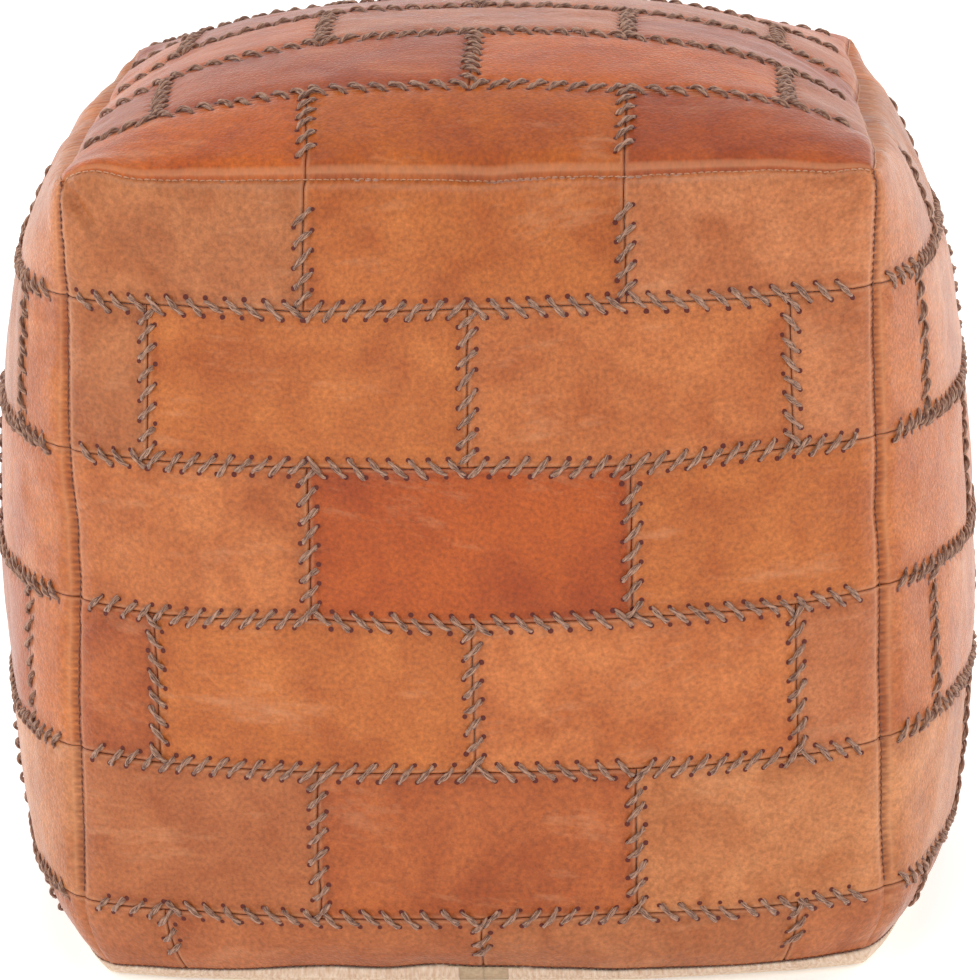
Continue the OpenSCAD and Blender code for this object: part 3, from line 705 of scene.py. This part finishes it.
lacer = np.random.default_rng(23)
for panel in PANELS:
    stitches = skins[panel]["stitches"]
    count = len(stitches)
    stitches = stitches + lacer.normal(0, 0.35 / HALF, stitches.shape)
    t = np.linspace(0, 1, RINGS)[None, :]
    # the cord leaves a hole on its inner side
    reach = 0.5 + (t - 0.5) * 0.9
    u = stitches[:, :1] * (1 - reach) + stitches[:, 2:3] * reach
    v = stitches[:, 1:2] * (1 - reach) + stitches[:, 3:] * reach
    normal = unit(on_skin(panel, u, v, "normals"))
    height = -1.5 + 2.9 * np.sin(math.pi * t) ** 0.36 * lacer.uniform(0.93, 1.07, (count, 1))
    path = on_skin(panel, u, v, "calm") + normal * height[..., None]
    ahead = unit(np.gradient(path, axis=1))
    beside = unit(np.cross(ahead, normal))
    above = np.cross(beside, ahead)
    path = path + beside * (np.sin(math.pi * t) * lacer.normal(0, 0.25, (count, 1)))[..., None]
    twist = lacer.uniform(0, 2 * math.pi, (count, 1)) + t * 2 * math.pi * 10.5 / LAY
    plies = []
    for phase in (0, math.pi):
        plies.append(path + PLY_OFFSET * (beside * np.cos(twist + phase)[..., None]
                                          + above * np.sin(twist + phase)[..., None]))
    plies = np.concatenate(plies)
    taper = np.where((t == 0) | (t == 1), 0.6, 1.0)
    points, quads, triangles = tubes(plies, np.concatenate([normal, normal]),
                                     np.repeat(PLY * taper, 2 * count, 0))
    along = np.broadcast_to(t[..., None] * 10, (2 * count, RINGS, SIDES))
    around = np.broadcast_to(np.arange(SIDES)[None, None, :] * 1.2, along.shape)
    which = np.broadcast_to(lacer.uniform(0, 500, (2 * count, 1, 1)), along.shape)
    fibres = np.stack([along * 0.35 + which, around, which * 1.7], -1)
    build(f"lacing_{panel}", points, quads, triangles, cord_finish,
          [f"{panel}_lacing"], numbers={"fibre": fibres.reshape(-1, 3)})

# ---- sewn seams -----------------------------------------------------------------------
# Bonded polyester thread, lock-stitched at 3.2 mm along the corners, the rim of the top and
# the rim of the base. It lies sunk in the crease, so only a dotted line of it shows.
THREAD, STITCH = 0.34, 3.2

thread_finish, tree = finish_of("bonded polyester thread")
place_in = add(tree, "TexCoord")
twine = add(tree, "TexNoise", {"Vector": place_in.outputs["Object"], "Scale": 1 / 0.0008,
                               "Detail": 1.0})
thread_colour = add(tree, "Mix", {0: twine.outputs["Fac"], 6: linear("#9a6244"),
                                  7: linear("#dcae8c")}, data_type="RGBA")
surface(tree, {"Base Color": thread_colour.outputs[2], "Roughness": 0.6})


def seam_stitches(line, outward):
    """Short stitches end to end along a line of points, each sunk at both ends."""
    gaps = np.linalg.norm(np.diff(line, axis=0), axis=1)
    run = np.concatenate([[0], np.cumsum(gaps)])
    count = int(run[-1] / STITCH)
    t = np.linspace(0.06, 0.94, 7)[None, :]
    at = (np.arange(count)[:, None] + t) * run[-1] / count
    path = np.stack([np.interp(at, run, line[:, k]) for k in range(3)], -1)
    out = unit(np.stack([np.interp(at, run, outward[:, k]) for k in range(3)], -1))
    height = 0.35 - 1.5 * (2 * t - 1) ** 4
    path = path + out * np.broadcast_to(height, at.shape)[..., None]
    return path, out


# A darker copy of the same thread for the corner and base seams, which lie in shade: painted shade.
shaded_thread, tree = finish_of("bonded polyester thread, shaded")
place_in = add(tree, "TexCoord")
twine = add(tree, "TexNoise", {"Vector": place_in.outputs["Object"], "Scale": 1 / 0.0008})
brown = add(tree, "Mix", {0: twine.outputs["Fac"], 6: linear("#4a2418"), 7: linear("#7d4c38")},
            data_type="RGBA")
surface(tree, {"Base Color": brown.outputs[2], "Roughness": 0.65})


def seam(name, node, lines, finish):
    paths, outs = zip(*[seam_stitches(*line) for line in lines])
    paths, outs = np.concatenate(paths), np.concatenate(outs)
    points, quads, triangles = tubes(paths, outs, np.full(paths.shape[:2], THREAD), 6)
    build(name, points, quads, triangles, finish, [node])


corner_lines, top_lines, base_lines = [], [], []
for panel in PANELS[:4]:
    skin = skins[panel]
    sewn_part = skin["vs"] * PANEL > 30
    corner_lines.append((skin["calm"][sewn_part, -1], skin["normals"][sewn_part, -1]))
    top_lines.append((skin["calm"][-1, 3:-3], skin["normals"][-1, 3:-3]))
    base_lines.append((skin["calm"][0, 3:-3], skin["normals"][0, 3:-3]))
seam("thread_corners", "corner_seam_thread", corner_lines, shaded_thread)
seam("thread_top", "top_seam_thread", top_lines, thread_finish)
seam("thread_base", "base_seam_thread", base_lines, shaded_thread)

# ---- canvas base ----------------------------------------------------------------------
# Two halves of undyed plain-weave cotton canvas, 1 mm thick, sewn to the foot of the cover
# and rolled under it. Their inner edges are folded back twice into a hem beside the zip.
ROLL, OPENING, HEM, LIFT, CANVAS = 14.0, 23.0, 12.5, 6.0, 1.0
HEM_END = OPENING / 2 + HEM
RAMP_END = HEM_END + 22

canvas_finish, tree = finish_of("undyed cotton canvas")
cloth = add(tree, "Attribute", attribute_name="cloth")
stain = add(tree, "Attribute", attribute_name="stain")
threads = add(tree, "SeparateXYZ", {0: cloth.outputs["Vector"]})
# threads 0.9 mm apart each way, over and under each other
warp = add(tree, "Math", {0: threads.outputs[0], 1: 2 * math.pi / 0.0018}, operation="MULTIPLY")
weft = add(tree, "Math", {0: threads.outputs[1], 1: 2 * math.pi / 0.0018}, operation="MULTIPLY")
warp_wave = add(tree, "Math", {0: warp.outputs[0]}, operation="SINE")
weft_wave = add(tree, "Math", {0: weft.outputs[0]}, operation="SINE")
weave = add(tree, "Math", {0: warp_wave.outputs[0], 1: weft_wave.outputs[0]}, operation="MULTIPLY")
slub = add(tree, "TexNoise", {"Vector": cloth.outputs["Vector"], "Scale": 1 / 0.0016,
                              "Detail": 2.0})
slub_share = add(tree, "MapRange", {"Value": slub.outputs["Fac"], "From Min": 0.3, "From Max": 0.7})
canvas_colour = add(tree, "Mix", {0: slub_share.outputs[0], 6: linear("#d2b698"),
                                  7: linear("#f3e3ce")}, data_type="RGBA")
patchy = add(tree, "TexNoise", {"Vector": cloth.outputs["Vector"], "Scale": 1 / 0.012,
                                "Detail": 4.0})
stain_share = add(tree, "Math", {0: stain.outputs["Fac"], 1: patchy.outputs["Fac"]},
                  operation="MULTIPLY")
stained = add(tree, "Mix", {0: stain_share.outputs[0], 6: canvas_colour.outputs[2],
                            7: linear("#9a5f42")}, data_type="RGBA")
cloth_bump = add(tree, "Bump", {"Height": weave.outputs[0], "Strength": 0.5, "Distance": 0.0003})
surface(tree, {"Base Color": stained.outputs[2], "Roughness": 0.92,
              "Sheen Weight": 0.1, "Normal": cloth_bump.outputs[0]})


def base_point(u, w, depth, lift):
    reach = HALF - TUCK - depth
    out = BULGE * side_fill(0.0)
    raised = lift * np.clip((RAMP_END - np.abs(u) * HALF) / (RAMP_END - HEM_END), 0, 1)
    from_end = np.clip((1 - np.abs(w)) * HALF / 24, 0, 1)
    raised = raised * from_end * from_end * (3 - 2 * from_end)
    rim = BASE_SEAM - DIP * (u * w) ** 4
    start = 1 - ROLL / HALF
    s = np.maximum(0, np.maximum(np.abs(u), np.abs(w)) - start) / (1 - start)
    rolled = 1 - np.sqrt(np.maximum(0, 1 - s * s))
    return np.stack(np.broadcast_arrays(
        u * (reach + out * swell(w, ACROSS) * np.abs(u) ** 3),
        w * (reach + out * swell(u, ACROSS) * np.abs(w) ** 3),
        depth + raised + (rim - raised) * rolled), -1)


rim_lines = 1 - np.array([1, 0.85, 0.7, 0.55, 0.42, 0.3, 0.2, 0.12, 0.06, 0.02]) * ROLL / HALF
for side, name in ((1, "base_right"), (-1, "base_left")):
    us = np.concatenate([np.linspace(OPENING / 2, HEM_END - 0.5, 9) / HALF,
                         np.linspace(HEM_END, RAMP_END, 10) / HALF,
                         np.linspace(RAMP_END / HALF, rim_lines[0], 60)[1:-1], rim_lines, [0.999]])
    ws = np.concatenate([[-0.999], -rim_lines[::-1], np.linspace(-rim_lines[0], rim_lines[0], 170)[1:-1],
                         rim_lines, [0.999]])
    # the grid is laid so that its outside, the underside, comes out facing down
    u_grid, w_grid = np.meshgrid(us, ws[::-1] if side > 0 else ws)
    outer = base_point(u_grid, w_grid, 0.0, LIFT)
    thick = np.where(u_grid * HALF < HEM_END - 0.3, 2 * CANVAS, CANVAS)[..., None]
    inner = base_point(u_grid, w_grid, thick[..., 0], LIFT)
    wave = np.clip((u_grid * HALF - 30) / 30, 0, 1) * np.clip(outer[..., 2] / 2, 0, 1)
    ripple = 0.35 * lumps(outer, 14, 31) * wave
    hem_ridge = 0.5 * bell(u_grid * HALF - OPENING / 2 - HEM, 1.2)
    for grid in (outer, inner):
        grid[..., 2] += np.where(grid[..., 2] > 1.5, ripple, 0)
        grid[..., 0] *= side
        grid[:] = settled(grid)
    outer[..., 2] = np.maximum(outer[..., 2] - hem_ridge * (outer[..., 2] > 2), 0.02)
    inner[..., 2] = np.maximum(inner[..., 2], outer[..., 2] + 0.6)
    points, quads, triangles, (kr, kc) = closed_sheet(outer, inner, 3)
    cloth_at = np.stack([u_grid * HALF, w_grid * HALF, 0 * u_grid], -1) * 0.001
    from_rim = (1 - np.maximum(np.abs(u_grid), np.abs(w_grid))) * HALF
    stain_at = 0.5 * bell(from_rim, 4)
    piece = build(f"canvas_{name}", points, quads, triangles, canvas_finish, [name],
                  numbers={"cloth": np.concatenate([cloth_at.reshape(-1, 3),
                                            cloth_at[np.ix_(kr, kc)].reshape(-1, 3)]),
                   "stain": np.concatenate([stain_at.ravel(), stain_at[np.ix_(kr, kc)].ravel()])})

# ---- zip ------------------------------------------------------------------------------
# A nylon coil zip 306 mm long on woven polyester tape, sewn behind the two hems, with brass
# stops at both ends. Its brass slider stands at the closed end with the pull lying flat.
COIL, COIL_GAP, COIL_LENGTH = 2.6, 1.0, 306.0
TAPE_LOW, TAPE, TAPE_WIDTH = 8.3, 0.6, 15.8
TEETH = 1.9
COIL_HEIGHT, COIL_SIDE = 6.8, 1.8

tape_finish, tree = finish_of("woven polyester tape")
place_in = add(tree, "TexCoord")
apart = add(tree, "SeparateXYZ", {0: place_in.outputs["Object"]})
ribs = add(tree, "Math", {0: apart.outputs[1], 1: 2 * math.pi / 0.0012}, operation="MULTIPLY")
rib_wave = add(tree, "Math", {0: ribs.outputs[0]}, operation="SINE")
lint = add(tree, "TexNoise", {"Vector": place_in.outputs["Object"], "Scale": 1 / 0.0015})
tape_colour = add(tree, "Mix", {0: lint.outputs["Fac"], 6: linear("#9c8468"), 7: linear("#cdb495")},
                  data_type="RGBA")
tape_bump = add(tree, "Bump", {"Height": rib_wave.outputs[0], "Strength": 0.4, "Distance": 0.0002})
surface(tree, {"Base Color": tape_colour.outputs[2], "Roughness": 0.8,
              "Normal": tape_bump.outputs[0]})

coil_finish, tree = finish_of("nylon coil")
place_in = add(tree, "TexCoord")
milky = add(tree, "TexNoise", {"Vector": place_in.outputs["Object"], "Scale": 1 / 0.01})
coil_colour = add(tree, "Mix", {0: milky.outputs["Fac"], 6: linear("#94785a"),
                                7: linear("#b39877")}, data_type="RGBA")
surface(tree, {"Base Color": coil_colour.outputs[2], "Roughness": 0.4,
              "IOR": 1.53})

brass, tree = finish_of("cast and tumbled brass")
place_in = add(tree, "TexCoord")
tarnish = add(tree, "TexNoise", {"Vector": place_in.outputs["Object"], "Scale": 1 / 0.003,
                                 "Detail": 4.0})
brass_colour = add(tree, "Mix", {0: tarnish.outputs["Fac"], 6: linear("#a07c42"),
                                 7: linear("#d8b672")}, data_type="RGBA")
brass_rough = add(tree, "MapRange", {"Value": tarnish.outputs["Fac"], "To Min": 0.22,
                                     "To Max": 0.5})
brass_bump = add(tree, "Bump", {"Height": tarnish.outputs["Fac"], "Strength": 0.15,
                                "Distance": 0.0002})
surface(tree, {"Base Color": brass_colour.outputs[2], "Metallic": 1.0,
              "Roughness": brass_rough.outputs[0],
              "Normal": brass_bump.outputs[0]})

for side, name in ((1, "right"), (-1, "left")):
    us = np.linspace(COIL_GAP / 2 + 0.7, COIL_GAP / 2 + 0.7 + TAPE_WIDTH, 12) / HALF
    ws = np.linspace(-0.999, 0.999, 160)
    u_grid, w_grid = np.meshgrid(us, ws[::-1] if side > 0 else ws)
    # at both ends the tapes meet, and come forward to close the base between its hems
    end_share = np.clip((np.abs(w_grid) - 0.87) / 0.06, 0, 1)
    tape_depth = 2.3 - 2.0 * end_share
    u_grid = u_grid - (us[-1] - u_grid) / (us[-1] - us[0]) * (us[0] - 0.02 / HALF) * end_share
    outer = base_point(u_grid, w_grid, tape_depth, LIFT)
    inner = base_point(u_grid, w_grid, tape_depth + TAPE, LIFT)
    for grid in (outer, inner):
        grid[..., 0] *= side
        grid[:] = settled(grid)
    outer[..., 2] = np.maximum(outer[..., 2], 0.1)
    inner[..., 2] = np.maximum(inner[..., 2], outer[..., 2] + 0.5)
    points, quads, triangles, _ = closed_sheet(outer, inner, 2)
    piece = build(f"tape_{name}", points, quads, triangles, tape_finish,
                  [f"zip_tape_{name}"])
    # the coil is one filament wound round and round
    turns = int(COIL_LENGTH / TEETH)
    angle = np.linspace(0, turns * 2 * math.pi, turns * 14 + 1)
    path = np.stack([side * (COIL_SIDE + (COIL / 2 - 0.35) * np.cos(angle)),
                     -COIL_LENGTH / 2 + 0.5 + (COIL_LENGTH - 1) * angle / angle[-1],
                     COIL_HEIGHT + (COIL / 2 - 0.35) * np.sin(angle)], -1)[None]
    axis = np.broadcast_to((0.0, 1.0, 0.0), path.shape)
    points, quads, triangles = tubes(path, axis, np.full(path.shape[:2], 0.35), 6)
    build(f"coil_{name}", points, quads, triangles, coil_finish, [f"zip_coil_{name}"])

for name in ("zip_top_stops", "zip_bottom_stop", "zip_slider", "zip_pull"):
    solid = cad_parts[name]
    solid.data.materials.clear()
    solid.data.materials.append(brass)

# ---- inner bag and filling --------------------------------------------------------------
# An unbleached cotton bag, one panel behind each panel of the cover, stuffed with cotton
# fibre until it is tight. Neither shows unless the base is unzipped.
LINER_OUT, LINER, INNER_LIFT = 2.1, 0.8, 8.2

bag_finish, tree = finish_of("unbleached cotton")
place_in = add(tree, "TexCoord")
crinkle = add(tree, "TexNoise", {"Vector": place_in.outputs["Object"], "Scale": 1 / 0.006,
                                 "Detail": 4.0})
bag_colour = add(tree, "Mix", {0: crinkle.outputs["Fac"], 6: linear("#ddd3c0"),
                               7: linear("#efe8da")}, data_type="RGBA")
bag_bump = add(tree, "Bump", {"Height": crinkle.outputs["Fac"], "Strength": 0.4,
                              "Distance": 0.001})
surface(tree, {"Base Color": bag_colour.outputs[2], "Roughness": 0.95,
              "Normal": bag_bump.outputs[0]})

for panel in PANELS:
    marks = MARKS_W if panel == "top" else MARKS_V
    us = np.linspace(-0.985, 0.985, 60)[None, :]
    vs = np.linspace(marks[0] + 0.015, marks[-1] - 0.015, 60)[:, None]
    outer = settled(panel_point(panel, us, vs, LINER_OUT + 1.2)) + swelling(panel, us, vs)
    inner = settled(panel_point(panel, us, vs, LINER_OUT + 1.2 + LINER)) + swelling(panel, us, vs)
    points, quads, triangles, _ = closed_sheet(outer, inner, 2)
    piece = build(f"bag_{panel}", points, quads, triangles, bag_finish,
                  [f"liner_{panel}"])

us = np.linspace(-0.97, 0.97, 60)
u_grid, w_grid = np.meshgrid(us, us[::-1])
outer = base_point(u_grid, w_grid, LINER_OUT + 0.3, INNER_LIFT)
inner = base_point(u_grid, w_grid, LINER_OUT + 0.3 + LINER, INNER_LIFT)
points, quads, triangles, _ = closed_sheet(outer, inner, 2)
piece = build("bag_base", points, quads, triangles, bag_finish, ["liner_base"])

fibre_finish, tree = finish_of("cotton fibre")
place_in = add(tree, "TexCoord")
fluff = add(tree, "TexNoise", {"Vector": place_in.outputs["Object"], "Scale": 1 / 0.009,
                               "Detail": 6.0, "Roughness": 0.7})
fluff_colour = add(tree, "Mix", {0: fluff.outputs["Fac"], 6: linear("#e6dfd0"),
                                 7: linear("#fbf8f1")}, data_type="RGBA")
fluff_bump = add(tree, "Bump", {"Height": fluff.outputs["Fac"], "Strength": 0.8,
                                "Distance": 0.003})
surface(tree, {"Base Color": fluff_colour.outputs[2], "Roughness": 1.0,
              "Normal": fluff_bump.outputs[0]})

FILLING_OUT = LINER_OUT + LINER + 5.5
around_u = np.linspace(-1, 1, 40)[:-1]
levels = [np.concatenate([turned(side_point(around_u, np.array(v), FILLING_OUT), q)
                          for q in range(4)]) for v in np.linspace(0.06, 0.985, 40)]
levels += [np.concatenate([turned(top_point(around_u * t, np.array(-t), FILLING_OUT), q)
                           for q in range(4)]) for t in (0.95, 0.88, 0.8, 0.7, 0.58, 0.45, 0.3, 0.15)]
foot = levels[0] * (0.85, 0.85, 0)
foot[:, 2] = INNER_LIFT + FILLING_OUT + 1
rings = np.concatenate([foot[None], np.array(levels)])
rings[1:] = settled(rings[1:]) - unit(rings[1:] - (0, 0, 190)) * (0.8 + 0.8 * np.abs(
    lumps(rings[1:], 20, 41)))[..., None]
count, around = rings.shape[:2]
index = np.arange(count * around).reshape(count, around)
beyond = np.roll(index, -1, axis=1)
quads = np.stack([index[:-1], beyond[:-1], beyond[1:], index[1:]], -1).reshape(-1, 4)
tip, sole = count * around, count * around + 1
points = np.concatenate([rings.reshape(-1, 3), [rings[-1].mean(0) + (0, 0, 0.2), foot.mean(0)]])
triangles = [(index[-1, k], beyond[-1, k], tip) for k in range(around)]
triangles += [(beyond[0, k], index[0, k], sole) for k in range(around)]
stuffing = build("cotton_filling", points, quads, triangles, fibre_finish, ["filling"])
